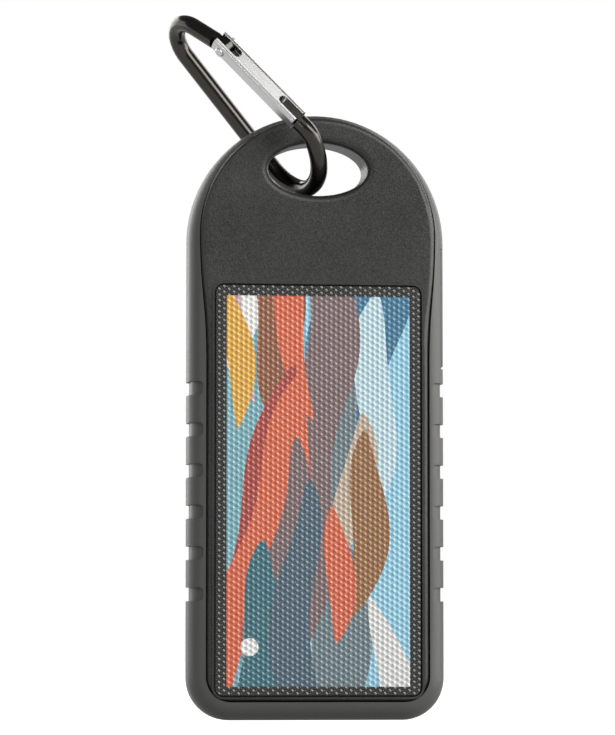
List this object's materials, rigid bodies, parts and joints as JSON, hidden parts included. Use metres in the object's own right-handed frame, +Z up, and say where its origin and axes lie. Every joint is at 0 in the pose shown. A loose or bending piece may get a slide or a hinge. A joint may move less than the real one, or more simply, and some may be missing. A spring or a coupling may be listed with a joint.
{
  "type": "solar phone charger",
  "caption": "Slim round-topped solar power bank with a soft ribbed bumper, a dimpled printed face, a rear solar panel and a spring-gate carabiner through its lanyard hole.",
  "frame": {"origin": "centre of the flat bottom face that the charger stands on", "axes": "+X to the right of the printed face, -Y out of the printed face, +Z up towards the lanyard hole"},
  "size_m": [0.0645, 0.0275, 0.1658],
  "materials": {
    "shell_plastic": "fine sparked matt black",
    "bumper_rubber": "satin grey thermoplastic rubber",
    "face_print": "glossy dimpled plate with a printed wave pattern",
    "solar_laminate": "clear dimpled laminate",
    "solar_cell": "dark blue-black silicon",
    "ribbon": "tinned ribbon",
    "glue": "white adhesive film",
    "board": "green solder mask",
    "seal": "matt",
    "battery": "laminate pouch",
    "foam": "foam",
    "lead": "insulated wire",
    "socket_steel": "nickel plated",
    "socket_plastic": "moulded",
    "chip": "moulded epoxy",
    "button_rubber": "satin",
    "led": "clear",
    "lens": "polished",
    "reflector": "polished",
    "screw_steel": "zinc plated",
    "clip_black": "black anodised, polished",
    "gate_silver": "polished",
    "pin_steel": "polished"
  },
  "bodies": {
    "case": {"front_shell": "shell_plastic", "rear_shell": "shell_plastic", "shell_seal": "seal", "bumper": "bumper_rubber", "face_glue": "glue", "face_plate": "face_print", "solar_glue": "glue", "solar_board": "board", "solar_cells": "solar_cell", "solar_ribbons": "ribbon", "solar_laminate": "solar_laminate", "battery_cell": "battery", "battery_pad": "foam", "battery_guard_board": "board", "battery_leads": "lead", "circuit_board": "board", "usb_socket": "socket_steel", "usb_tongue": "socket_plastic", "charge_socket": "socket_steel", "charge_tongue": "socket_plastic", "controller_chip": "chip", "boost_inductor": "chip", "board_capacitors": "reflector", "solar_leads": "lead", "button_switch": "socket_plastic", "indicator_leds": "led", "indicator_lenses": "lens", "torch_led": "led", "torch_reflector": "reflector", "torch_lens": "lens", "case_screws": "screw_steel"},
    "port_cover": {"port_cover": "bumper_rubber"},
    "power_button": {"power_button": "button_rubber", "switch_plunger": "socket_plastic"},
    "carabiner": {"carabiner_frame": "clip_black"},
    "gate": {"carabiner_gate": "gate_silver", "gate_pin": "pin_steel", "gate_spring": "pin_steel", "gate_plunger": "clip_black"}
  },
  "joints": [
    {"name": "carabiner_swing", "type": "hinge", "parent": "case", "child": "carabiner", "pos_m": [0, 0, 0.129], "axis": [0, 1, 0], "range_deg": [-2, 90]},
    {"name": "gate_hinge", "type": "hinge", "parent": "carabiner", "child": "gate", "pos_m": [-0.02212, -0.00844, 0.15701], "axis": [0.7453, 0.309, 0.5907], "range_deg": [0, 11], "stiffness_Nm_per_rad": 0.05, "springref_deg": -11.46},
    {"name": "button_press", "type": "slide", "parent": "case", "child": "power_button", "axis": [0, -1, 0], "range_m": [0, 0.0005], "stiffness_N_per_m": 2500},
    {"name": "port_cover_hinge", "type": "hinge", "parent": "case", "child": "port_cover", "pos_m": [0.0292, 0, 0.08365], "axis": [0, 1, 0], "range_deg": [0, 95]}
  ]
}
